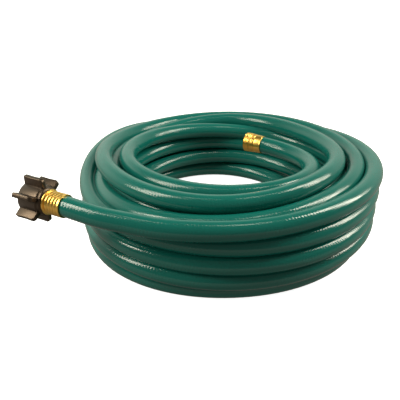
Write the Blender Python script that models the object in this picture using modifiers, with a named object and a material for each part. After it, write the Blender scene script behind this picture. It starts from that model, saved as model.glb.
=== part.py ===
"""Coiled garden hose with a lugged swivel coupling on one end and a threaded
brass coupling on the other. Metres, +Z up, lying on its side of the coil."""

import math

import bpy
from mathutils import Vector

MM = 0.001

# Running gap between pieces that touch
GAP = 0.3 * MM

# Hose
HOSE_DIAMETER = 22 * MM
HOSE_RADIUS = HOSE_DIAMETER / 2

# Coil: turns side by side and on each other, pressed a little flat where they meet
COIL_RADIUS = 188 * MM          # centre line of the outermost turn
COIL_COLUMNS = 4
COIL_LAYERS = 5
COLUMN_PITCH = HOSE_DIAMETER - 1 * MM
LAYER_PITCH = HOSE_DIAMETER - 2 * MM
COIL_STEPS = 48
TURN_FACETS = 8

# Routes of the two loose ends: where each leaves the coil's side, and steps from there
END_LEAN = 0.95                 # how far an end's slanted face stands off, in hose radii
LEAD_ANGLE = math.radians(237.9)
LEAD_RISE = 5 * MM              # above the middle of the top layer
LEAD_ROUTE = [
    (0.0, 0.0, 0.0),
    (-12.6, 3.4, 0.7),
    (-26.6, 8.3, 1.5),
    (-41.1, 15.0, 2.5),
    (-53.0, 21.2, 3.2),
    (-62.9, 26.5, 3.8),
]
TAIL_ANGLE = math.radians(8.5)
TAIL_RISE = -7 * MM
TAIL_ROUTE = [
    (0.0, 0.0, 0.0),
    (-3.8, 8.3, 0.0),
    (-10.4, 16.2, 0.2),
    (-18.4, 24.9, 0.5),
    (-27.9, 33.5, 1.0),
    (-38.4, 41.5, 1.5),
    (-50.4, 48.9, 2.0),
]
LEAD_HEADING = math.radians(151.5)     # level directions that the couplings point in
TAIL_HEADING = math.radians(148.5)
ROUTE_STEPS = 2                        # points on the tube for each stretch of a route

# Couplings: lengths run along the axis, outwards from the mouth of the ferrule
STEM_BORE_RADIUS = 5.75 * MM
NECK_RADIUS = 7.5 * MM
FERRULE_LIP = 1.0 * MM
RIM_LENGTH = 2.0 * MM
RIM_RADIUS = HOSE_RADIUS + 2.8 * MM

LEAD_FERRULE_LENGTH = 20 * MM
LEAD_FERRULE_RADIUS = HOSE_RADIUS + 1.7 * MM
LEAD_FERRULE_GROOVE = 0.8 * MM
LEAD_FERRULE_RIDGES = 4

NUT_LENGTH = 29 * MM
NUT_RADIUS = 16.6 * MM
NUT_BACK_WALL = 3.5 * MM
NUT_SHOULDER = 1.4 * MM             # step down behind the barrel
NUT_COLLAR_LENGTH = 4.5 * MM        # the narrower collar behind that step
NUT_SOCKET_RADIUS = 13.5 * MM
NUT_THREAD_DEPTH = 0.6 * MM
THREAD_PITCH = 2.2 * MM
NUT_THREADS = 5
LUG_COUNT = 6
LUG_TURN = math.radians(27)         # how far the first lug is turned up from level
LUG_RADIUS = 25.4 * MM
LUG_WIDTH = 5.0 * MM
LUG_LENGTH = 25.5 * MM
LUG_CORNER = 4.0 * MM
LUG_BEVEL = 0.9 * MM

FLANGE_LENGTH = 2.0 * MM
FLANGE_RADIUS = 12.4 * MM
WASHER_LENGTH = 3.0 * MM
WASHER_BORE = 8.0 * MM

TAIL_FERRULE_LENGTH = 12.2 * MM
TAIL_FERRULE_RADIUS = HOSE_RADIUS + 1.4 * MM
TAIL_FERRULE_TAPER = 0.5 * MM
TAIL_BEAD_LENGTH = 3.3 * MM
TAIL_BEAD_RADIUS = 12.9 * MM
TAIL_THREAD_RADIUS = 13.2 * MM
TAIL_THREAD_DEPTH = 0.9 * MM
TAIL_THREADS = 4
TAIL_MOUTH_LENGTH = 1.2 * MM
TAIL_COUNTERBORE_RADIUS = 8.6 * MM
TAIL_COUNTERBORE_LENGTH = 7.0 * MM

TURN_STEPS = 32

PARTS = "garden_hose"
CUTTERS = "guides"

GREEN = (0.010, 0.150, 0.105)
BRASS = (0.75, 0.48, 0.12)
BLACK_PLASTIC = (0.020, 0.017, 0.015)
GASKET_RUBBER = (0.012, 0.012, 0.012)


def clear_scene():
    for thing in list(bpy.data.objects):
        bpy.data.objects.remove(thing, do_unlink=True)


def collection(name):
    made = bpy.data.collections.new(name)
    bpy.context.scene.collection.children.link(made)
    return made


def material(name, color, roughness, metallic=0.0):
    made = bpy.data.materials.new(name)
    made.use_nodes = True
    shader = made.node_tree.nodes["Principled BSDF"]
    shader.inputs["Base Color"].default_value = (*color, 1.0)
    shader.inputs["Roughness"].default_value = roughness
    shader.inputs["Metallic"].default_value = metallic
    return made


def add_empty(name, parent=None, location=(0, 0, 0), heading=None):
    """An empty; with a heading, its +Z points level along that heading."""
    empty = bpy.data.objects.new(name, None)
    bpy.context.scene.collection.objects.link(empty)
    empty.parent = parent
    empty.location = location
    if heading is not None:
        pointing = Vector((math.cos(heading), math.sin(heading), 0))
        empty.rotation_mode = 'QUATERNION'
        empty.rotation_quaternion = pointing.to_track_quat('Z', 'Y')
    return empty


def add_turned(name, profile, look, parent, steps=TURN_STEPS):
    """A piece turned about its own Z; the profile runs down its outer side."""
    mesh = bpy.data.meshes.new(name)
    count = len(profile)
    points = [(radius, 0.0, height) for radius, height in profile]
    mesh.from_pydata(points, [(i, (i + 1) % count) for i in range(count)], [])
    mesh.materials.append(look)
    piece = bpy.data.objects.new(name, mesh)
    bpy.data.collections[PARTS].objects.link(piece)
    piece.parent = parent
    screw = piece.modifiers.new("turn", 'SCREW')
    screw.steps = steps
    screw.render_steps = steps
    screw.use_merge_vertices = True
    screw.merge_threshold = 0.00001
    screw.use_smooth_shade = False
    return piece


def lead_points():
    """The lead's route, from the coil's outer side to the mouth of its ferrule."""
    radius = COIL_RADIUS + HOSE_RADIUS + END_LEAN * HOSE_RADIUS
    return placed_route(LEAD_ROUTE, radius, LEAD_ANGLE, LEAD_RISE)


def tail_points():
    """The tail's route, from the coil's inner side to the mouth of its ferrule."""
    first_turn = COIL_RADIUS - (COIL_COLUMNS - 1) * COLUMN_PITCH
    radius = first_turn - HOSE_RADIUS - END_LEAN * HOSE_RADIUS
    return placed_route(TAIL_ROUTE, radius, TAIL_ANGLE, TAIL_RISE)


def placed_route(route, radius, angle, rise):
    height = HOSE_RADIUS + (COIL_LAYERS - 1) * LAYER_PITCH + rise
    start = Vector((radius * math.cos(angle), radius * math.sin(angle), height))
    return [start + Vector(step) * MM for step in route]


def smooth_route(points, steps):
    """Points on a smooth curve through a route."""
    padded = [2 * points[0] - points[1]] + points + [2 * points[-1] - points[-2]]
    out = []
    for i in range(1, len(padded) - 2):
        a, b, c, d = padded[i - 1:i + 3]
        for k in range(steps):
            t = k / steps
            out.append(0.5 * (2 * b + (c - a) * t + (2 * a - 5 * b + 4 * c - d) * t ** 2
                              + (3 * b - a - 3 * c + d) * t ** 3))
    out.append(points[-1])
    return out


def add_hose_end(name, places, heading, inserted, look, parent):
    """The stretch of hose from the coil to a coupling, ending inside its ferrule."""
    points = smooth_route(places, ROUTE_STEPS)
    pointing = Vector((math.cos(heading), math.sin(heading), 0))
    points.append(points[-1] + pointing * inserted)
    curve = bpy.data.curves.new(name, 'CURVE')
    curve.dimensions = '3D'
    curve.bevel_depth = HOSE_RADIUS
    curve.bevel_resolution = 2
    curve.render_resolution_u = 0
    curve.use_fill_caps = True
    spline = curve.splines.new('POLY')
    spline.points.add(len(points) - 1)
    for point, place in zip(spline.points, points):
        point.co = (*place, 1.0)
    curve.materials.append(look)
    piece = bpy.data.objects.new(name, curve)
    bpy.data.collections[PARTS].objects.link(piece)
    piece.parent = parent
    return piece


def coil_outline():
    """The coil's section: the outline of all its turns, as (radius, height)."""
    first_radius = COIL_RADIUS - (COIL_COLUMNS - 1) * COLUMN_PITCH
    last_column = COIL_COLUMNS - 1
    top_layer = COIL_LAYERS - 1
    walk = [(column, top_layer) for column in range(COIL_COLUMNS)]
    walk += [(last_column, layer) for layer in range(top_layer - 1, -1, -1)]
    walk += [(column, 0) for column in range(last_column - 1, -1, -1)]
    walk += [(0, layer) for layer in range(1, top_layer)]
    centres = [
        Vector((first_radius + column * COLUMN_PITCH, HOSE_RADIUS + layer * LAYER_PITCH))
        for column, layer in walk
    ]
    facet = 2 * math.pi / TURN_FACETS
    corner_radius = HOSE_RADIUS / math.cos(facet / 2)
    outline = []
    for i, centre in enumerate(centres):
        back = centre - centres[i - 1]
        ahead = centres[(i + 1) % len(centres)] - centre
        turn_in = math.atan2(back.y, back.x)
        turn_out = math.atan2(ahead.y, ahead.x)
        start = turn_in + math.pi / 2 + facet / 2
        sweep = (turn_in - turn_out) % (2 * math.pi) + facet
        for k in range(round(sweep / facet) + 1):
            angle = start - k * facet
            outline.append(centre + corner_radius * Vector((math.cos(angle), math.sin(angle))))
        half = ahead.length / 2
        outward = Vector((-ahead.y, ahead.x)).normalized()
        outline.append(centre + ahead / 2 + outward * math.sqrt(HOSE_RADIUS ** 2 - half ** 2))
    return [tuple(point) for point in outline]


def add_coil(look, parent):
    return add_turned("hose_coil", coil_outline(), look, parent, COIL_STEPS)


def lead_ferrule_outline():
    """Crimped sleeve with round ridges, a rim at the nut and a lip round the stem's neck."""
    ridge = LEAD_FERRULE_LENGTH / LEAD_FERRULE_RIDGES
    groove_radius = LEAD_FERRULE_RADIUS - LEAD_FERRULE_GROOVE
    rim_top = LEAD_FERRULE_LENGTH + RIM_LENGTH
    outline = [(NECK_RADIUS + GAP, rim_top), (RIM_RADIUS, rim_top), (RIM_RADIUS, LEAD_FERRULE_LENGTH)]
    for i in range(LEAD_FERRULE_RIDGES - 1, -1, -1):
        low = i * ridge
        outline += [
            (groove_radius, low + 0.96 * ridge),
            (LEAD_FERRULE_RADIUS, low + 0.72 * ridge),
            (LEAD_FERRULE_RADIUS, low + 0.32 * ridge),
            (groove_radius, low + 0.08 * ridge),
        ]
    hose_stop = rim_top - FERRULE_LIP
    bore = HOSE_RADIUS + GAP
    outline += [(groove_radius, 0), (bore, 0), (bore, hose_stop), (NECK_RADIUS + GAP, hose_stop)]
    return outline


def stem_outline(neck_foot):
    """Brass stem: neck through the nut's back wall and a flange that holds the nut."""
    flange_foot = nut_foot() + NUT_BACK_WALL + GAP
    flange_top = flange_foot + FLANGE_LENGTH
    return [
        (STEM_BORE_RADIUS, flange_top),
        (FLANGE_RADIUS, flange_top),
        (FLANGE_RADIUS, flange_foot),
        (NECK_RADIUS, flange_foot),
        (NECK_RADIUS, neck_foot),
        (STEM_BORE_RADIUS, neck_foot),
    ]


def nut_foot():
    return LEAD_FERRULE_LENGTH + RIM_LENGTH + GAP


def nut_outline():
    """Nut body, its origin at its back face: collar, barrel and threaded socket."""
    thread_root = NUT_SOCKET_RADIUS + NUT_THREAD_DEPTH
    collar = NUT_RADIUS - NUT_SHOULDER
    outline = [
        (thread_root, NUT_LENGTH),
        (NUT_RADIUS, NUT_LENGTH),
        (NUT_RADIUS, NUT_COLLAR_LENGTH + 0.4 * NUT_SHOULDER),
        (collar, NUT_COLLAR_LENGTH),
        (collar, NUT_SHOULDER),
        (collar - NUT_SHOULDER, 0),
        (NECK_RADIUS + GAP, 0),
        (NECK_RADIUS + GAP, NUT_BACK_WALL),
        (thread_root, NUT_BACK_WALL),
    ]
    first = NUT_LENGTH - (NUT_THREADS + 0.5) * THREAD_PITCH
    for i in range(NUT_THREADS):
        foot = first + i * THREAD_PITCH
        outline += [
            (thread_root, foot),
            (NUT_SOCKET_RADIUS, foot + 0.3 * THREAD_PITCH),
            (NUT_SOCKET_RADIUS, foot + 0.5 * THREAD_PITCH),
            (thread_root, foot + 0.8 * THREAD_PITCH),
        ]
    return outline


def lug_outline():
    """A lug's side, as (radius, height) in the nut: square at the mouth, round at the back."""
    inner = NUT_SOCKET_RADIUS + NUT_THREAD_DEPTH + 0.8 * MM
    mouth = NUT_LENGTH - 0.05 * MM
    back = mouth - LUG_LENGTH
    outline = [(inner, mouth), (LUG_RADIUS, mouth)]
    for k in range(5):
        angle = math.pi / 2 * k / 4
        outline.append((
            LUG_RADIUS - LUG_CORNER * (1 - math.cos(angle)),
            back + LUG_CORNER * (1 - math.sin(angle)),
        ))
    return outline + [(inner, back)]


def add_lug_guide(name, parent, angle):
    """One grip lug as a guide body, joined to the nut."""
    outline = lug_outline()
    count = len(outline)
    half = LUG_WIDTH / 2
    points = [(r, side, z) for side in (-half, half) for r, z in outline]
    faces = [tuple(range(count)), tuple(range(2 * count - 1, count - 1, -1))]
    for i in range(count):
        k = (i + 1) % count
        faces.append((k, i, count + i, count + k))
    mesh = bpy.data.meshes.new(name)
    mesh.from_pydata(points, [], faces)
    lug = bpy.data.objects.new(name, mesh)
    bpy.data.collections[CUTTERS].objects.link(lug)
    lug.parent = parent
    lug.rotation_euler = (0, 0, angle)
    bevel = lug.modifiers.new("rounding", 'BEVEL')
    bevel.width = LUG_BEVEL
    bevel.segments = 2
    bevel.limit_method = 'ANGLE'
    bevel.angle_limit = math.radians(40)
    lug.hide_render = True
    lug.display_type = 'WIRE'
    return lug


def add_swivel_nut(look, parent):
    nut = add_turned("swivel_nut", nut_outline(), look, parent)
    nut.location = (0, 0, nut_foot())
    for i in range(LUG_COUNT):
        angle = LUG_TURN + 2 * math.pi * i / LUG_COUNT
        lug = add_lug_guide("lug_%d" % (i + 1), nut, angle)
        join = nut.modifiers.new("join_lug_%d" % (i + 1), 'BOOLEAN')
        join.operation = 'UNION'
        join.object = lug
    return nut


def add_lead_coupling(looks, root):
    axis = add_empty("lead_coupling_axis", root, lead_points()[-1], LEAD_HEADING)
    add_turned("lead_ferrule", lead_ferrule_outline(), looks["brass"], axis)
    neck_foot = LEAD_FERRULE_LENGTH + RIM_LENGTH - FERRULE_LIP
    add_turned("lead_stem", stem_outline(neck_foot), looks["brass"], axis)
    add_swivel_nut(looks["nut"], axis)
    washer_foot = nut_foot() + NUT_BACK_WALL + GAP + FLANGE_LENGTH + GAP
    washer = add_turned("nut_washer", [
        (WASHER_BORE, WASHER_LENGTH),
        (NUT_SOCKET_RADIUS - GAP, WASHER_LENGTH),
        (NUT_SOCKET_RADIUS - GAP, 0),
        (WASHER_BORE, 0),
    ], looks["rubber"], axis)
    washer.location = (0, 0, washer_foot)


def tail_ferrule_outline():
    foot_radius = TAIL_FERRULE_RADIUS - TAIL_FERRULE_TAPER
    hose_stop = TAIL_FERRULE_LENGTH - FERRULE_LIP
    bore = HOSE_RADIUS + GAP
    return [
        (NECK_RADIUS + GAP, TAIL_FERRULE_LENGTH),
        (TAIL_FERRULE_RADIUS - 0.5 * MM, TAIL_FERRULE_LENGTH),
        (TAIL_FERRULE_RADIUS, TAIL_FERRULE_LENGTH - 0.8 * MM),
        (foot_radius, 0.4 * MM),
        (foot_radius - 0.2 * MM, 0),
        (bore, 0),
        (bore, hose_stop),
        (NECK_RADIUS + GAP, hose_stop),
    ]


def tail_coupling_length():
    return TAIL_BEAD_LENGTH + TAIL_THREADS * THREAD_PITCH + TAIL_MOUTH_LENGTH


def tail_coupling_outline():
    """Threaded end, its origin at the bead's back face, with a neck into the ferrule."""
    top = tail_coupling_length()
    root = TAIL_THREAD_RADIUS - TAIL_THREAD_DEPTH
    outline = [(TAIL_COUNTERBORE_RADIUS, top), (root, top)]
    for i in range(TAIL_THREADS - 1, -1, -1):
        foot = TAIL_BEAD_LENGTH + i * THREAD_PITCH
        outline += [
            (root, foot + 0.95 * THREAD_PITCH),
            (TAIL_THREAD_RADIUS, foot + 0.65 * THREAD_PITCH),
            (TAIL_THREAD_RADIUS, foot + 0.45 * THREAD_PITCH),
            (root, foot + 0.15 * THREAD_PITCH),
        ]
    outline += [
        (TAIL_BEAD_RADIUS - 0.6 * MM, TAIL_BEAD_LENGTH),
        (TAIL_BEAD_RADIUS, 0.75 * TAIL_BEAD_LENGTH),
        (TAIL_BEAD_RADIUS, 0.25 * TAIL_BEAD_LENGTH),
        (TAIL_BEAD_RADIUS - 0.6 * MM, 0),
        (NECK_RADIUS, 0),
        (NECK_RADIUS, -GAP - FERRULE_LIP),
        (STEM_BORE_RADIUS, -GAP - FERRULE_LIP),
        (STEM_BORE_RADIUS, top - TAIL_COUNTERBORE_LENGTH),
        (TAIL_COUNTERBORE_RADIUS, top - TAIL_COUNTERBORE_LENGTH),
    ]
    return outline


def add_tail_coupling(looks, root):
    axis = add_empty("tail_coupling_axis", root, tail_points()[-1], TAIL_HEADING)
    add_turned("tail_ferrule", tail_ferrule_outline(), looks["brass"], axis)
    coupling = add_turned("male_coupling", tail_coupling_outline(), looks["brass"], axis)
    coupling.location = (0, 0, TAIL_FERRULE_LENGTH + GAP)


def stand_at_origin(root):
    """Moves the whole hose so that the middle of its box's base is the origin."""
    bpy.context.view_layer.update()
    graph = bpy.context.evaluated_depsgraph_get()
    corners = []
    for piece in bpy.data.collections[PARTS].objects:
        seen = piece.evaluated_get(graph)
        mesh = seen.to_mesh()
        corners += [seen.matrix_world @ vertex.co for vertex in mesh.vertices]
        seen.to_mesh_clear()
    low = [min(c[i] for c in corners) for i in range(3)]
    high = [max(c[i] for c in corners) for i in range(3)]
    root.location = (-(low[0] + high[0]) / 2, -(low[1] + high[1]) / 2, -low[2])
    bpy.context.view_layer.update()


def main():
    clear_scene()
    collection(PARTS)
    collection(CUTTERS)
    looks = {
        "hose": material("green_hose", GREEN, 0.35),
        "brass": material("brass", BRASS, 0.28, 1.0),
        "nut": material("black_plastic", BLACK_PLASTIC, 0.4),
        "rubber": material("gasket_rubber", GASKET_RUBBER, 0.7),
    }
    root = add_empty("hose_root")
    add_coil(looks["hose"], root)
    lead_in = LEAD_FERRULE_LENGTH + RIM_LENGTH - FERRULE_LIP - GAP
    tail_in = TAIL_FERRULE_LENGTH - FERRULE_LIP - GAP
    add_hose_end("hose_lead", lead_points(), LEAD_HEADING, lead_in, looks["hose"], root)
    add_hose_end("hose_tail", tail_points(), TAIL_HEADING, tail_in, looks["hose"], root)
    add_lead_coupling(looks, root)
    add_tail_coupling(looks, root)
    stand_at_origin(root)


main()
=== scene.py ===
"""Coiled green garden hose with a lugged swivel coupling and a threaded brass end."""

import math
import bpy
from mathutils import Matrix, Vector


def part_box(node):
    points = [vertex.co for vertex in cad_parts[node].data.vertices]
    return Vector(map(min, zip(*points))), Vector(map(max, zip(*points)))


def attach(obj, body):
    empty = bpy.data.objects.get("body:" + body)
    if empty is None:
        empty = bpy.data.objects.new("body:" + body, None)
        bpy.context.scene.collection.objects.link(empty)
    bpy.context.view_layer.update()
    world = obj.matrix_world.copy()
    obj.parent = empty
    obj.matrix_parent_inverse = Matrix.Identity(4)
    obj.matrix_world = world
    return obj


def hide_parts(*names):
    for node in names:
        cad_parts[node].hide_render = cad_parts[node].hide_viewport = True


bl_info = {
    "name": "Coiled Garden Hose",
    "version": (1, 0, 0),
    "blender": (4, 5, 0),
    "location": "View3D > Sidebar > Garden Hose",
    "description": "Dresses the packed garden hose and sets its stage",
    "category": "Object",
}

import bmesh
import bpy
import numpy as np
from mathutils import Matrix, Vector

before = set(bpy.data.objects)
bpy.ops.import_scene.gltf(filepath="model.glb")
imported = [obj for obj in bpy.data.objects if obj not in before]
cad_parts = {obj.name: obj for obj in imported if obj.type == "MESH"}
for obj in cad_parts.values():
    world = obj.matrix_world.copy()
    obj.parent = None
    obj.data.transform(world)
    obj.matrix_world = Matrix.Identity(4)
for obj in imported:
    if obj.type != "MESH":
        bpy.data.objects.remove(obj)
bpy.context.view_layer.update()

MM = 0.001
GAP = 0.3 * MM
HOSE_RADIUS = 11 * MM
TURN = 2 * math.pi

# Loose ends of the hose, as in the part: start on the coil's side and steps from there
COIL_RADIUS = 188 * MM
COIL_INNER_SIDE = 114 * MM
TOP_LAYER = 91 * MM
END_LEAN = 0.95
LEAD_ANGLE = 237.9
LEAD_RISE = 5 * MM
LEAD_ROUTE = [
    (0.0, 0.0, 0.0),
    (-12.6, 3.4, 0.7),
    (-26.6, 8.3, 1.5),
    (-41.1, 15.0, 2.5),
    (-53.0, 21.2, 3.2),
    (-62.9, 26.5, 3.8),
]
TAIL_ANGLE = 8.5
TAIL_RISE = -7 * MM
TAIL_ROUTE = [
    (0.0, 0.0, 0.0),
    (-3.8, 8.3, 0.0),
    (-10.4, 16.2, 0.2),
    (-18.4, 24.9, 0.5),
    (-27.9, 33.5, 1.0),
    (-38.4, 41.5, 1.5),
    (-50.4, 48.9, 2.0),
]

# Level directions of the couplings, how far the hose goes into each, and a turn's mean
# radius, which sets how many rings of the mesh a turn has
LEAD_HEADING = math.radians(151.5)
TAIL_HEADING = math.radians(148.5)
LEAD_INSERT = 20.7 * MM
TAIL_INSERT = 10.9 * MM
MEAN_TURN_RADIUS = 165 * MM

# Couplings: lengths along each axis, of which NUT_FOOT starts at its ferrule's mouth
LEAD_SLEEVE = 20 * MM
RIM_LENGTH = 2 * MM
TAIL_SLEEVE = 12.2 * MM
NUT_FOOT = LEAD_SLEEVE + RIM_LENGTH + GAP
NUT_LENGTH = 29 * MM
NUT_BACK = 3.5 * MM
FLANGE_LENGTH = 2 * MM
WASHER_LENGTH = 3 * MM

# Lugs: round of the back corner, bevel, radius of the root, and how much wider it is there
LUG_CORNER = 4 * MM
LUG_BEVEL = 0.9 * MM
LUG_INNER = 15.2 * MM
LUG_FLARE = 1.12

# A thread's section: where its flanks would meet, in heights of the thread, and how many
# heights they fall in a turn
THREAD_PEAK = 1.6
THREAD_FLANK = 4.4

# Edges bent more than this stay sharp
SHARP_EDGE = math.radians(35)

# Braid under the skin: ribs round the hose, and the yarn's height as a share of a rib's
BRAID_RIBS = 6
YARN_DEPTH = 0.18

# Where each turn lies, as (radius, height) in mm at every eighth of a turn, starting at
# the front. The first turn takes over from the lead, and the last one runs into the tail.
LEAD_BRIDGE = [(245.0, 203.5, 94.4), (256.5, 194.5, 92.6)]
TURNS = [
    [(186, 91), (176, 91), (185, 88), (197, 78), (207, 65), (206, 76), (183, 67.5), (178, 67)],
    [(181, 70), (177, 70), (182, 68), (190, 54), (197, 47), (197, 50), (180, 48), (182, 48)],
    [(184, 50), (179, 50), (180, 48), (194, 35), (205, 28), (196, 29), (179, 29), (183, 29)],
    [(182, 30), (177, 30), (180, 28), (189, 16), (197, 11), (186, 11), (175, 11), (178, 11)],
    [(169, 11), (166, 11), (165, 11), (170, 11), (177, 11), (170, 23), (155, 31), (159, 32)],
    [(160, 33), (157, 31), (158, 31), (171, 31), (177, 38), (175, 42), (161, 49), (162, 53)],
    [(162, 57), (158, 52), (158, 51), (167, 52), (187, 65), (182, 62), (163, 68), (162, 76)],
    [(161, 84), (152, 88), (164, 89), (178, 88), (198, 82), (184, 83), (161, 94), (147, 96)],
    [(143, 98), (134, 102), (137, 98), (150, 92), (180, 84), (166, 76), (148, 80), (142, 76)],
    [(139, 73), (139, 57), (137, 52), (148, 52), (159, 56), (153, 57), (143, 55), (140, 52)],
    [(138, 46), (136, 38), (137, 31), (147, 31), (154, 34), (147, 33), (136, 32), (138, 28)],
    [(137, 22), (134, 14), (130, 11), (131, 11), (156, 11), (155, 11), (146, 11), (120, 18)],
    [(114, 45), (118, 70), (147, 72), (162, 69), (154, 76), (146, 84), (130, 90), (110, 90)],
    [(105, 91), (110, 93)],
]
FIRST_ANGLE = 270.0

# How many points at the tail's start the hose rounds off, to bend no tighter than it can
TAIL_ROUNDED = 4

# Soft boxes, all of one warm white: name, place, size and share of the left one's power
WARM = (1.0, 0.95, 0.80)
BOXES = [
    ("left_box", (-1.12, -0.30, 0.96), (0.30, 1.05), 1.0),
    ("right_box", (1.16, 0.14, 0.90), (0.30, 1.05), 1.1),
    ("left_top_box", (-0.42, -0.10, 1.60), (0.16, 0.30), 0.05),
    ("right_top_box", (0.42, -0.10, 1.60), (0.16, 0.30), 0.10),
]
LIGHTS_AIM = (0.0, 0.0, 0.06)

# Where the camera looks, from the coil's middle on the floor, and half the floor's side
LOOKS_AT = (-0.0365, -0.017, 0.03975)
FLOOR_REACH = 14


class HoseSettings(bpy.types.PropertyGroup):
    """Size and finish of the hose."""

    diameter: bpy.props.FloatProperty(
        name="Diameter", description="Outer diameter of the hose",
        default=2 * HOSE_RADIUS, min=0.005, unit='LENGTH', subtype='DISTANCE')
    ring_step: bpy.props.FloatProperty(
        name="Ring Step", description="Distance between the rings of the tube's mesh",
        default=0.009, min=0.002, unit='LENGTH', subtype='DISTANCE')
    sides: bpy.props.IntProperty(
        name="Sides", description="Sides of the tube's mesh", default=28, min=8)
    braid_pitch: bpy.props.FloatProperty(
        name="Braid Pitch", description="Distance along the hose between two ribs of the braid",
        default=0.0036, min=0.001, unit='LENGTH', subtype='DISTANCE')
    braid_depth: bpy.props.FloatProperty(
        name="Braid Depth", description="Height of the braid's relief under the skin",
        default=0.00008, min=0.0, unit='LENGTH', subtype='DISTANCE')
    color: bpy.props.FloatVectorProperty(
        name="Green", description="Colour of the vinyl skin", size=3, min=0.0, max=1.0,
        default=(0.006, 0.152, 0.125), subtype='COLOR')


class CouplingSettings(bpy.types.PropertyGroup):
    """Sizes of the brass couplings."""

    thread_pitch: bpy.props.FloatProperty(
        name="Thread Pitch", description="Pitch of the garden hose thread",
        default=0.0022, min=0.0005, unit='LENGTH', subtype='DISTANCE')
    ridges: bpy.props.IntProperty(
        name="Ridges", description="Crimped ridges of the ferrule at the nut", default=4, min=1)
    ridge_depth: bpy.props.FloatProperty(
        name="Ridge Depth", description="Depth of the grooves between the crimped ridges",
        default=0.0008, min=0.0, unit='LENGTH', subtype='DISTANCE')
    sides: bpy.props.IntProperty(
        name="Sides", description="Sides of each turned piece", default=96, min=12)
    color: bpy.props.FloatVectorProperty(
        name="Brass", description="Colour of the brass", size=3, min=0.0, max=1.0,
        default=(0.95, 0.60, 0.15), subtype='COLOR')


class NutSettings(bpy.types.PropertyGroup):
    """Sizes of the swivel nut."""

    lugs: bpy.props.IntProperty(
        name="Lugs", description="Grip lugs round the nut", default=6, min=3)
    first_lug: bpy.props.FloatProperty(
        name="First Lug", description="How far the first lug is turned up from level",
        default=math.radians(27), unit='ROTATION', subtype='ANGLE')
    lug_radius: bpy.props.FloatProperty(
        name="Lug Radius", description="From the axis to a lug's outer face",
        default=0.0254, min=0.01, unit='LENGTH', subtype='DISTANCE')
    lug_width: bpy.props.FloatProperty(
        name="Lug Width", description="Width of a lug",
        default=0.0050, min=0.001, unit='LENGTH', subtype='DISTANCE')
    lug_length: bpy.props.FloatProperty(
        name="Lug Length", description="Length of a lug along the nut",
        default=0.0255, min=0.005, unit='LENGTH', subtype='DISTANCE')


class StageSettings(bpy.types.PropertyGroup):
    """Camera and studio."""

    lens: bpy.props.FloatProperty(
        name="Lens", description="Focal length on a 36 mm wide sensor",
        default=46.735, min=10, unit='CAMERA')
    distance: bpy.props.FloatProperty(
        name="Distance", description="From the camera to the point it looks at",
        default=0.6804, min=0.1, unit='LENGTH', subtype='DISTANCE')
    elevation: bpy.props.FloatProperty(
        name="Elevation", description="Angle that the camera looks down at",
        default=math.radians(26.74), unit='ROTATION', subtype='ANGLE')
    side_power: bpy.props.FloatProperty(
        name="Side Boxes", description="Power of the left soft box, which the others share in",
        default=16.5, min=0.0, unit='POWER')
    room: bpy.props.FloatProperty(
        name="Room", description="Brightness of the room round the sweep",
        default=0.14, min=0.0, subtype='FACTOR')
    wall: bpy.props.FloatProperty(
        name="Wall", description="Brightness of the pale wall behind the hose",
        default=0.85, min=0.0, subtype='FACTOR')
    from_floor: bpy.props.FloatProperty(
        name="From Floor", description="Warm light that the floor sends up at the hose",
        default=0.44, min=0.0, subtype='FACTOR')


class Value:
    """A socket in a material or a world, with arithmetic on it."""

    def __init__(self, graph, socket):
        self.graph = graph
        self.socket = socket

    def math(self, operation, *others, clamp=False):
        return self.graph.math(operation, self, *others, clamp=clamp)

    def __add__(self, other):
        return self.math('ADD', other)

    def __radd__(self, other):
        return self.math('ADD', other)

    def __sub__(self, other):
        return self.math('SUBTRACT', other)

    def __rsub__(self, other):
        return self.graph.math('SUBTRACT', other, self)

    def __mul__(self, other):
        return self.math('MULTIPLY', other)

    def __rmul__(self, other):
        return self.math('MULTIPLY', other)

    def __neg__(self):
        return self.math('MULTIPLY', -1.0)

    def clamp(self):
        return self.math('ADD', 0.0, clamp=True)


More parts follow.
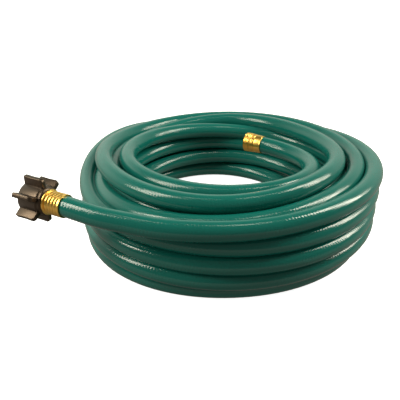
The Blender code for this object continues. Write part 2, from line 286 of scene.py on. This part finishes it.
class Graph:
    """The nodes of a material or of a world."""

    def __init__(self, owner):
        owner.use_nodes = True
        self.owner = owner
        self.tree = owner.node_tree

    def join(self, value, socket):
        if isinstance(value, Value):
            self.tree.links.new(value.socket, socket)
        elif hasattr(value, "__len__") and len(value) == 3 and len(socket.default_value) == 4:
            socket.default_value = (*value, 1.0)
        else:
            socket.default_value = value

    def node(self, kind, settings=None, inputs=None, output=0):
        """A node of any kind: its settings first, then its sockets."""
        node = self.tree.nodes.new(kind)
        for name, value in (settings or {}).items():
            setattr(node, name, value)
        for name, value in (inputs or {}).items():
            self.join(value, node.inputs[name])
        return Value(self, node.outputs[output])

    def math(self, operation, *values, clamp=False):
        settings = {"operation": operation, "use_clamp": clamp}
        return self.node('ShaderNodeMath', settings, dict(enumerate(values)))

    def noise(self, vector, scale, detail):
        return self.node('ShaderNodeTexNoise', {"noise_dimensions": '3D'}, {
            "Vector": vector, "Scale": scale, "Detail": detail})

    def mix(self, factor, first, second):
        """Colour from first to second."""
        return self.node('ShaderNodeMix', {"data_type": 'RGBA'},
                         {0: factor, 6: first, 7: second}, output=2)

    def place(self):
        """Where a point is on its own piece, in metres."""
        return self.node('ShaderNodeTexCoord', output=3)

    def parts(self, vector):
        """A vector's X, Y and Z."""
        split = self.node('ShaderNodeSeparateXYZ', None, {"Vector": vector})
        return [Value(self, out) for out in split.socket.node.outputs]

    def bump(self, height, strength, distance):
        return self.node('ShaderNodeBump', None, {
            "Height": height, "Strength": strength, "Distance": distance})

    def shade(self, **sockets):
        names = {
            "color": "Base Color", "roughness": "Roughness", "metallic": "Metallic",
            "normal": "Normal", "ior": "IOR",
            "specular": "Specular IOR Level", "specular_tint": "Specular Tint",
            "glow": "Emission Color", "glow_strength": "Emission Strength",
        }
        for key, value in sockets.items():
            self.join(value, self.tree.nodes["Principled BSDF"].inputs[names[key]])
        return self.owner


def hose_material(settings):
    """Green vinyl skin with the braid showing through as fine crossed ribs."""
    graph = Graph(bpy.data.materials.new("green_hose"))
    surface = graph.node('ShaderNodeUVMap', {"uv_map": "Run"})
    along, around, _ = graph.parts(surface)
    run = along * (TURN / settings.braid_pitch)
    lap = around * (TURN * BRAID_RIBS)
    ribs = (run + lap).math('SINE')
    crossed = (run - lap).math('SINE')
    yarn = (run * 3 + lap * 2).math('SINE') * YARN_DEPTH
    place = graph.place()
    patch = graph.noise(place, 55.0, 2.0)
    grain = graph.noise(place, 1500.0, 2.0)
    drift = graph.noise(place, 14.0, 3.0)
    braid = (ribs.math('MAXIMUM', crossed) + yarn) * (patch * 1.6 - 0.3).clamp()
    height = braid * settings.braid_depth + grain * 0.000006
    normal = graph.bump(height, 1.0, 1.0)
    deep = [0.88 * part for part in settings.color]
    light = [1.10 * part for part in settings.color]
    color = graph.mix(drift, deep, light)
    rough = drift * 0.04 + patch * 0.03 + 0.11
    return graph.shade(color=color, roughness=rough, normal=normal, ior=1.5)


def brass_material(settings):
    """Satin brass, a little deeper in tone from place to place."""
    graph = Graph(bpy.data.materials.new("polished_brass"))
    place = graph.place()
    tone = graph.noise(place, 160.0, 3.0)
    scuff = graph.noise(place, 420.0, 2.0)
    deep = [0.94 * settings.color[0], 0.90 * settings.color[1], 0.84 * settings.color[2]]
    color = graph.mix(tone, deep, tuple(settings.color))
    rough = scuff * 0.03 + 0.31
    return graph.shade(color=color, roughness=rough, metallic=1.0)


def plastic_material():
    """Moulded black plastic with a warm brown cast and a fine grain."""
    graph = Graph(bpy.data.materials.new("black_plastic"))
    place = graph.place()
    grain = graph.noise(place, 1400.0, 2.0)
    tone = graph.noise(place, 90.0, 2.0)
    color = graph.mix(tone, (0.015, 0.011, 0.009), (0.022, 0.016, 0.013))
    rough = tone * 0.06 + 0.33
    normal = graph.bump(grain, 0.15, 0.0002)
    return graph.shade(color=color, roughness=rough, normal=normal, specular=0.8,
                       specular_tint=(1.0, 0.72, 0.50))


def rubber_material():
    """Matte black gasket rubber with a little dust."""
    graph = Graph(bpy.data.materials.new("gasket_rubber"))
    place = graph.place()
    dust = graph.noise(place, 300.0, 3.0)
    color = graph.mix(dust, (0.010, 0.010, 0.010), (0.022, 0.022, 0.021))
    rough = dust * 0.1 + 0.7
    normal = graph.bump(dust, 0.2, 0.0003)
    return graph.shade(color=color, roughness=rough, normal=normal)


def floor_material():
    """White sweep, glowing a little so that it stays plain under the hose."""
    graph = Graph(bpy.data.materials.new("pale_floor"))
    place = graph.place()
    tone = graph.noise(place, 3.0, 2.0)
    color = graph.mix(tone, (0.93, 0.93, 0.93), (0.94, 0.94, 0.94))
    return graph.shade(color=color, roughness=0.9, specular=0.1, glow=(1.0, 1.0, 1.0),
                       glow_strength=0.95)


def coil_centre():
    """Middle of the coil, on the floor."""
    low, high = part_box("hose_coil")
    return Vector(((low[0] + high[0]) / 2, (low[1] + high[1]) / 2, 0.0))


def polar(degrees, radius, height):
    """A point about the coil's middle."""
    angle = math.radians(degrees)
    return Vector((radius * math.cos(angle), radius * math.sin(angle), height))


def lead_points():
    """The loose end at the nut, from the coil to its ferrule."""
    radius = COIL_RADIUS + HOSE_RADIUS + END_LEAN * HOSE_RADIUS
    start = polar(LEAD_ANGLE, radius, TOP_LAYER + LEAD_RISE)
    return [start + Vector(step) * MM for step in LEAD_ROUTE]


def tail_points():
    """The loose end at the thread, from the coil to its ferrule."""
    radius = COIL_INNER_SIDE - END_LEAN * HOSE_RADIUS
    start = polar(TAIL_ANGLE, radius, TOP_LAYER + TAIL_RISE)
    return [start + Vector(step) * MM for step in TAIL_ROUTE]


def heading(angle):
    """The level direction at an angle."""
    return Vector((math.cos(angle), math.sin(angle), 0.0))


def natural_spline(knots, values, places):
    """A smooth curve through values at knots, read at places."""
    knots = np.asarray(knots, float)
    values = np.asarray(values, float)
    count = len(knots)
    steps = np.diff(knots)
    rises = np.diff(values) / steps
    matrix = np.eye(count)
    side = np.zeros(count)
    for i in range(1, count - 1):
        matrix[i, i - 1:i + 2] = steps[i - 1], 2 * (steps[i - 1] + steps[i]), steps[i]
        side[i] = 6 * (rises[i] - rises[i - 1])
    bends = np.linalg.solve(matrix, side)
    spans = np.clip(np.searchsorted(knots, places) - 1, 0, count - 2)
    width = steps[spans]
    before = (knots[spans + 1] - places) / width
    after = 1 - before
    return (before * values[spans] + after * values[spans + 1]
            + ((before ** 3 - before) * bends[spans] + (after ** 3 - after) * bends[spans + 1])
            * width ** 2 / 6)


def hose_knots():
    """(degrees, radius, height) of every point that the hose passes, end to end."""
    def in_polar(point, whole_turns):
        degrees = math.degrees(math.atan2(point.y, point.x)) % 360 + 360 * whole_turns
        return degrees, math.hypot(point.x, point.y), point.z

    knots = [in_polar(point, 0) for point in reversed(lead_points())]
    knots += [(degrees, radius * MM, height * MM) for degrees, radius, height in LEAD_BRIDGE]
    for turn, stations in enumerate(TURNS):
        for eighth, (radius, height) in enumerate(stations):
            degrees = FIRST_ANGLE + 360 * turn + 45 * eighth
            knots.append((degrees, radius * MM, height * MM))
    knots += [in_polar(point, len(TURNS)) for point in tail_points()[TAIL_ROUNDED:]]
    return knots


def hose_line(step):
    """The middle line of the hose, from inside one ferrule to inside the other."""
    knots = hose_knots()
    degrees = np.array([knot[0] for knot in knots])
    count = int(math.radians(degrees[-1] - degrees[0]) * MEAN_TURN_RADIUS / step)
    places = np.linspace(degrees[0], degrees[-1], count)
    radii = natural_spline(degrees, [knot[1] for knot in knots], places)
    heights = natural_spline(degrees, [knot[2] for knot in knots], places)
    heights = np.maximum(heights, HOSE_RADIUS)
    centre = coil_centre()
    line = [centre + polar(*place) for place in zip(places, radii, heights)]
    inside_lead = [line[0] + heading(LEAD_HEADING) * LEAD_INSERT * t for t in (1.0, 0.66, 0.33)]
    inside_tail = [line[-1] + heading(TAIL_HEADING) * TAIL_INSERT * t for t in (0.5, 1.0)]
    return inside_lead + line + inside_tail


def link(piece):
    bpy.context.scene.collection.objects.link(piece)
    return piece


def mesh_piece(name, mesh, look, body):
    """A piece of the object: its mesh, material and body."""
    mesh.materials.append(look)
    piece = link(bpy.data.objects.new(name, mesh))
    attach(piece, body)
    return piece


def tube_mesh(name, line, radius, sides):
    """A closed tube along a line, with the run along and round it as its UV map, in metres."""
    rings = []
    tangent = (line[1] - line[0]).normalized()
    across = tangent.cross(Vector((0, 0, 1))).normalized()
    run = 0.0
    runs = []
    for i, point in enumerate(line):
        ahead = line[min(i + 1, len(line) - 1)] - line[max(i - 1, 0)]
        turned = tangent.rotation_difference(ahead.normalized())
        tangent = ahead.normalized()
        across = turned @ across
        across = (across - tangent * across.dot(tangent)).normalized()
        up = tangent.cross(across)
        rings.append([
            point + radius * (across * math.cos(a) + up * math.sin(a))
            for a in (TURN * k / sides for k in range(sides))
        ])
        run += (point - line[max(i - 1, 0)]).length
        runs.append(run)
    build = bmesh.new()
    layer = build.loops.layers.uv.new("Run")
    verts = [[build.verts.new(p) for p in ring] for ring in rings]
    for i in range(len(rings) - 1):
        for k in range(sides):
            n = (k + 1) % sides
            face = build.faces.new((verts[i][k], verts[i][n], verts[i + 1][n], verts[i + 1][k]))
            face.smooth = True
            corners = ((runs[i], k), (runs[i], k + 1), (runs[i + 1], k + 1), (runs[i + 1], k))
            for loop, (along, side) in zip(face.loops, corners):
                loop[layer].uv = along, side / sides
    for ring in (list(reversed(verts[0])), verts[-1]):
        build.faces.new(ring)
    bmesh.ops.recalc_face_normals(build, faces=build.faces)
    mesh = bpy.data.meshes.new(name)
    build.to_mesh(mesh)
    build.free()
    return mesh


def axis_frame(mouth, angle, along=0.0):
    """A coupling's own frame: +Z out along its axis, +Y up."""
    out = heading(angle)
    up = Vector((0, 0, 1))
    side = up.cross(out)
    matrix = Matrix((side, up, out)).transposed().to_4x4()
    matrix.translation = coil_centre() + mouth + out * along
    return matrix


def rounded(profile, radius):
    """The profile with each corner cut by an arc of about the radius."""
    out = []
    steps = 3
    count = len(profile)
    for i, (r, z) in enumerate(profile):
        here = Vector((r, z))
        back = Vector(profile[i - 1]) - here
        ahead = Vector(profile[(i + 1) % count]) - here
        bend = back.angle(ahead, math.pi)
        if bend > math.radians(165):
            out.append(here)
            continue
        reach = min(radius / math.tan(bend / 2), 0.45 * back.length, 0.45 * ahead.length)
        a = here + back.normalized() * reach
        b = here + ahead.normalized() * reach
        for k in range(steps + 1):
            t = k / steps
            out.append((1 - t) ** 2 * a + 2 * t * (1 - t) * here + t ** 2 * b)
    return [tuple(point) for point in out]


def turned_bmesh(profile, sides, thread=None):
    """A closed profile turned about Z. thread(angle, radius, height) may move each point."""
    build = bmesh.new()
    rows = []
    for k in range(sides):
        angle = TURN * k / sides
        row = []
        for radius, height in profile:
            r = thread(angle, radius, height) if thread else radius
            row.append(build.verts.new((r * math.cos(angle), r * math.sin(angle), height)))
        rows.append(row)
    count = len(profile)
    for k in range(sides):
        here = rows[k]
        there = rows[(k + 1) % sides]
        for i in range(count):
            j = (i + 1) % count
            face = build.faces.new((here[i], there[i], there[j], here[j]))
            face.smooth = True
    bmesh.ops.recalc_face_normals(build, faces=build.faces)
    return build


def finish_mesh(build, name, matrix):
    """The mesh in its place, smooth but for its sharp edges."""
    build.transform(matrix)
    mesh = bpy.data.meshes.new(name)
    build.to_mesh(mesh)
    build.free()
    mesh.set_sharp_from_angle(angle=SHARP_EDGE)
    return mesh


def thread_shape(turns):
    """Height of a thread, 0 to 1, at a place given in turns along it."""
    saw = turns - math.floor(turns)
    return min(1.0, max(0.0, THREAD_PEAK - abs(saw - 0.5) * THREAD_FLANK))


def run_in(height, low, high, length):
    """How fully a thread stands between low and high: it starts and ends over a length."""
    return max(0.0, min(1.0, (height - low) / length, (high - height) / length))


def lead_ferrule_profile(settings):
    """Crimped sleeve: a plain band at the hose, round ridges, and a rolled rim at the nut."""
    rim_top = (LEAD_SLEEVE + RIM_LENGTH) / MM
    band = 3.0
    first, last = band + 0.4, LEAD_SLEEVE / MM - 0.5
    crest = 12.7
    depth = settings.ridge_depth / MM
    pitch = (last - first) / settings.ridges
    outer = [(12.35, 0.0), (12.65, 0.35), (12.65, band - 0.3)]
    steps = 10
    for i in range(settings.ridges * steps + 1):
        turn = i / steps
        wave = abs(math.sin(math.pi * turn)) ** 0.7
        outer.append((crest - depth * (1 - wave), first + turn * pitch))
    outer += [(12.9, last + 0.45), (13.6, last + 0.6), (13.8, last + 1.0),
              (13.8, rim_top - 0.5), (13.5, rim_top)]
    inner = [(7.8, rim_top), (7.8, rim_top - 1.0), (11.3, rim_top - 1.0), (11.3, 0.0)]
    return [(r * MM, z * MM) for r, z in outer + inner]


def lead_stem_profile():
    """Neck through the nut's back wall, and the flange that holds the nut."""
    foot = (LEAD_SLEEVE + RIM_LENGTH) / MM - 1.0
    flange = (NUT_FOOT + NUT_BACK + GAP) / MM
    end = flange + FLANGE_LENGTH / MM
    return rounded([(r * MM, z * MM) for r, z in (
        (5.75, foot), (7.5, foot), (7.5, flange), (12.4, flange), (12.4, end),
        (5.75, end))], 0.4 * MM)


def tail_ferrule_profile():
    """Plain sleeve, a little wider at the bead, with a rolled edge at the hose."""
    points = ((12.6, 12.2), (12.6, 11.5), (12.4, 10.9), (11.8, 10.3), (12.35, 9.5), (12.2, 4.0),
              (11.95, 1.6), (12.1, 0.9), (12.1, 0.3), (11.8, 0.0), (11.3, 0.0), (11.3, 11.2),
              (7.8, 11.2), (7.8, 12.2))
    return rounded([(r * MM, z * MM) for r, z in points], 0.25 * MM)


def male_coupling_mesh(settings):
    """Threaded end: a bead at the ferrule, an outer thread, and a bore with a step."""
    top = 13.3
    root, crest = 12.35, 13.2
    points = [(5.75, -1.3), (7.5, -1.3), (7.5, 0.0), (12.5, 0.0), (12.8, 0.4), (12.9, 1.3),
              (12.8, 2.2), (12.3, 2.6), (12.0, 3.1), (root, 3.3)]
    steps = 52
    low, high = 3.3, 12.5
    points += [(root, low + (high - low) * (i + 1) / steps) for i in range(steps)]
    points += [(11.9, top), (8.9, top), (8.6, top - 0.3), (8.6, 6.3), (5.75, 6.3)]
    pitch = settings.thread_pitch / MM

    def thread(angle, radius, height):
        z = height / MM
        if abs(radius - root * MM) > 0.01 * MM or not low < z <= high + 0.01:
            return radius
        height_here = thread_shape(z / pitch - angle / TURN)
        return radius + (crest - root) * MM * height_here * run_in(z, low, high + 0.6, 1.0)

    return turned_bmesh([(r * MM, z * MM) for r, z in points], settings.sides, thread)


def nut_body(settings, sides, pitch):
    """The nut's turned body: collar, barrel, and a socket with its inner thread."""
    top = NUT_LENGTH / MM
    back = NUT_BACK / MM
    root, crest = 14.1, 13.4
    low, high = top - 12.6, top - 1.2
    steps = 64
    points = [(7.8, 0.0), (13.2, 0.0), (14.4, 0.5), (15.2, 1.5), (15.2, 4.2), (15.4, 4.5),
              (16.2, 4.75), (16.6, 5.2), (16.6, top - 0.7), (16.35, top - 0.15), (16.1, top),
              (14.6, top), (14.3, top - 0.25), (root, top - 0.7)]
    points += [(root, high - (high - low) * i / steps) for i in range(steps + 1)]
    points += [(root, back + 0.6), (13.6, back), (7.8, back)]

    def thread(angle, radius, height):
        z = height / MM
        if abs(radius - root * MM) > 0.01 * MM or not low - 0.01 <= z <= high + 0.01:
            return radius
        height_here = thread_shape(z / pitch - angle / TURN)
        return radius - (root - crest) * MM * height_here * run_in(z, low - 0.3, high + 0.3, 0.9)

    return turned_bmesh([(r * MM, z * MM) for r, z in points], sides, thread)


def add_lug(build, settings, angle):
    """One grip lug: a rib along the nut, square at the mouth and round at the back."""
    top = NUT_LENGTH - 0.05 * MM
    foot = top - settings.lug_length
    corner = LUG_CORNER
    tip = settings.lug_radius
    side = [(LUG_INNER, foot), (tip - corner, foot)]
    for k in range(1, 7):
        turn = math.pi / 2 * k / 6
        side.append((tip - corner * (1 - math.sin(turn)), foot + corner * (1 - math.cos(turn))))
    side += [(tip - 0.35 * MM, (foot + top) / 2), (tip, top - 2.2 * MM), (tip, top),
             (LUG_INNER, top)]
    half = settings.lug_width / 2
    rib = bmesh.new()
    edges = []
    for y in (-half, half):
        edges.append([rib.verts.new((r, y * (LUG_FLARE if r < tip - corner else 1.0), z))
                      for r, z in side])
    count = len(side)
    rib.faces.new(edges[0])
    rib.faces.new(list(reversed(edges[1])))
    for i in range(count):
        j = (i + 1) % count
        rib.faces.new((edges[0][j], edges[0][i], edges[1][i], edges[1][j]))
    bmesh.ops.recalc_face_normals(rib, faces=rib.faces)
    corners = [edge for edge in rib.edges if edge.calc_face_angle(0) > math.radians(40)
               and max(edge.verts[0].co.x, edge.verts[1].co.x) > LUG_INNER + MM]
    bmesh.ops.bevel(rib, geom=corners, offset=LUG_BEVEL, segments=3, profile=0.5,
                    affect='EDGES', clamp_overlap=True)
    for face in rib.faces:
        face.smooth = True
    rib.transform(Matrix.Rotation(angle, 4, 'Z'))
    mesh = bpy.data.meshes.new("lug")
    rib.to_mesh(mesh)
    rib.free()
    build.from_mesh(mesh)
    bpy.data.meshes.remove(mesh)


class GARDENHOSE_OT_add_hose(bpy.types.Operator):
    """Add the whole hose as one tube, from ferrule to ferrule"""

    bl_idname = "gardenhose.add_hose"
    bl_label = "Add Hose"

    def execute(self, context):
        settings = context.scene.garden_hose
        line = hose_line(settings.ring_step)
        mesh = tube_mesh("garden_hose", line, settings.diameter / 2, settings.sides)
        hose = mesh_piece("garden_hose", mesh, hose_material(settings), "hose")
        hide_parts("hose_coil", "hose_lead", "hose_tail")
        length = sum((b - a).length for a, b in zip(line, line[1:]))
        return {'FINISHED'}


class GARDENHOSE_OT_add_brass(bpy.types.Operator):
    """Add the brass ferrules, the stem and the threaded end"""

    bl_idname = "gardenhose.add_brass"
    bl_label = "Add Brass Couplings"

    def execute(self, context):
        settings = context.scene.garden_hose_brass
        brass = brass_material(settings)
        lead = axis_frame(lead_points()[-1], LEAD_HEADING)
        tail = axis_frame(tail_points()[-1], TAIL_HEADING)
        end = axis_frame(tail_points()[-1], TAIL_HEADING, TAIL_SLEEVE + GAP)
        sides = settings.sides
        for name, build, matrix, node in (
                ("lead_sleeve", turned_bmesh(lead_ferrule_profile(settings), sides), lead,
                 "lead_ferrule"),
                ("nut_stem", turned_bmesh(lead_stem_profile(), sides), lead, "lead_stem"),
                ("tail_sleeve", turned_bmesh(tail_ferrule_profile(), sides), tail,
                 "tail_ferrule"),
                ("threaded_end", male_coupling_mesh(settings), end, "male_coupling")):
            mesh = finish_mesh(build, name, matrix)
            piece = mesh_piece(name, mesh, brass, "hose")
            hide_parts(node)
        return {'FINISHED'}


class GARDENHOSE_OT_add_nut(bpy.types.Operator):
    """Add the swivel nut and its washer"""

    bl_idname = "gardenhose.add_nut"
    bl_label = "Add Swivel Nut"

    def execute(self, context):
        settings = context.scene.garden_hose_nut
        brass = context.scene.garden_hose_brass
        matrix = axis_frame(lead_points()[-1], LEAD_HEADING, NUT_FOOT)
        build = nut_body(settings, brass.sides, brass.thread_pitch / MM)
        for i in range(settings.lugs):
            add_lug(build, settings, settings.first_lug + TURN * i / settings.lugs)
        mesh = finish_mesh(build, "lugged_nut", matrix)
        nut = mesh_piece("lugged_nut", mesh, plastic_material(), "nut")
        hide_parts("swivel_nut")
        foot = NUT_BACK + GAP + FLANGE_LENGTH + GAP
        end = foot + WASHER_LENGTH
        bore, rim = 8 * MM, 13.2 * MM
        ring = rounded([(bore, foot), (rim, foot), (rim, end), (bore, end)], 0.5 * MM)
        mesh = finish_mesh(turned_bmesh(ring, brass.sides), "washer", matrix)
        washer = mesh_piece("washer", mesh, rubber_material(), "nut")
        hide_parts("nut_washer")
        return {'FINISHED'}


def add_area(name, place, target, size, power, color):
    """A soft box that shines on the target and stays out of the picture."""
    data = bpy.data.lights.new(name, 'AREA')
    data.shape = 'RECTANGLE'
    data.size, data.size_y = size
    data.energy = power
    data.color = color
    light = link(bpy.data.objects.new(name, data))
    light.location = place
    light.rotation_euler = (Vector(target) - Vector(place)).to_track_quat('-Z', 'Y').to_euler()
    light.visible_camera = False


def add_room(scene, settings):
    """A dim room, a pale wall behind the hose and light from the floor, as the world."""
    world = bpy.data.worlds.new("studio")
    graph = Graph(world)
    across, depth, up = graph.parts(graph.node('ShaderNodeTexCoord', output=0))
    behind = (depth * 2.0 + 0.1).clamp()
    low = (up * 0.9 + 0.62).math('MINIMUM', 1.95 - up * 2.6).clamp() * (up * 6 + 1).clamp()
    low = low * (1 - across * 0.4)
    under = (-up * 5).clamp()
    below = under * (1 + up).clamp() * settings.from_floor
    strength = behind * low * settings.wall + below + settings.room
    background = graph.tree.nodes["Background"]
    graph.join(graph.mix(under, (0.94, 1.0, 0.86), (1.0, 0.90, 0.76)),
               background.inputs["Color"])
    graph.join(strength, background.inputs["Strength"])
    scene.world = world


class GARDENHOSE_OT_add_stage(bpy.types.Operator):
    """Add the camera, the floor and the studio lights"""

    bl_idname = "gardenhose.add_stage"
    bl_label = "Add Stage"

    def execute(self, context):
        settings = context.scene.garden_hose_stage
        centre = coil_centre()
        target = centre + Vector(LOOKS_AT)
        tilt = settings.elevation
        data = bpy.data.cameras.new("camera")
        data.sensor_width = 36
        data.lens = settings.lens
        camera = link(bpy.data.objects.new("camera", data))
        away = Vector((0, -math.cos(tilt), math.sin(tilt)))
        camera.location = target + away * settings.distance
        camera.rotation_euler = (math.pi / 2 - tilt, 0, 0)
        context.scene.camera = camera

        mesh = bpy.data.meshes.new("floor")
        reach = FLOOR_REACH
        mesh.from_pydata([(-reach, -reach, 0), (reach, -reach, 0), (reach, reach, 0),
                          (-reach, reach, 0)], [], [(0, 1, 2, 3)])
        mesh.materials.append(floor_material())
        floor = link(bpy.data.objects.new("floor", mesh))
        floor.visible_diffuse = False
        floor.visible_glossy = False

        add_room(context.scene, settings)
        context.scene.view_settings.view_transform = 'Standard'

        aim = centre + Vector(LIGHTS_AIM)
        for name, place, size, share in BOXES:
            add_area(name, place, aim, size, share * settings.side_power, WARM)
        return {'FINISHED'}


class GARDENHOSE_PT_panel(bpy.types.Panel):
    """Settings and steps of the garden hose"""

    bl_idname = "GARDENHOSE_PT_panel"
    bl_label = "Garden Hose"
    bl_space_type = 'VIEW_3D'
    bl_region_type = 'UI'
    bl_category = "Garden Hose"

    def draw(self, context):
        scene = context.scene
        for group in (scene.garden_hose, scene.garden_hose_brass, scene.garden_hose_nut,
                      scene.garden_hose_stage):
            box = self.layout.box()
            for name in group.bl_rna.properties.keys():
                if name not in {"rna_type", "name"}:
                    box.prop(group, name)
        for step in STEPS:
            self.layout.operator(step.bl_idname)


STEPS = (
    GARDENHOSE_OT_add_stage,
    GARDENHOSE_OT_add_brass,
    GARDENHOSE_OT_add_hose,
    GARDENHOSE_OT_add_nut,
)
GROUPS = {
    "garden_hose": HoseSettings,
    "garden_hose_brass": CouplingSettings,
    "garden_hose_nut": NutSettings,
    "garden_hose_stage": StageSettings,
}


def register():
    for group in GROUPS.values():
        bpy.utils.register_class(group)
    for step in STEPS:
        bpy.utils.register_class(step)
    bpy.utils.register_class(GARDENHOSE_PT_panel)
    for name, group in GROUPS.items():
        setattr(bpy.types.Scene, name, bpy.props.PointerProperty(type=group))


def unregister():
    for name in GROUPS:
        delattr(bpy.types.Scene, name)
    bpy.utils.unregister_class(GARDENHOSE_PT_panel)
    for step in reversed(STEPS):
        bpy.utils.unregister_class(step)
    for group in reversed(list(GROUPS.values())):
        bpy.utils.unregister_class(group)


def main():
    register()
    bpy.ops.gardenhose.add_stage()
    bpy.ops.gardenhose.add_brass()
    bpy.ops.gardenhose.add_hose()
    bpy.ops.gardenhose.add_nut()


if __name__ == "__main__":
    main()
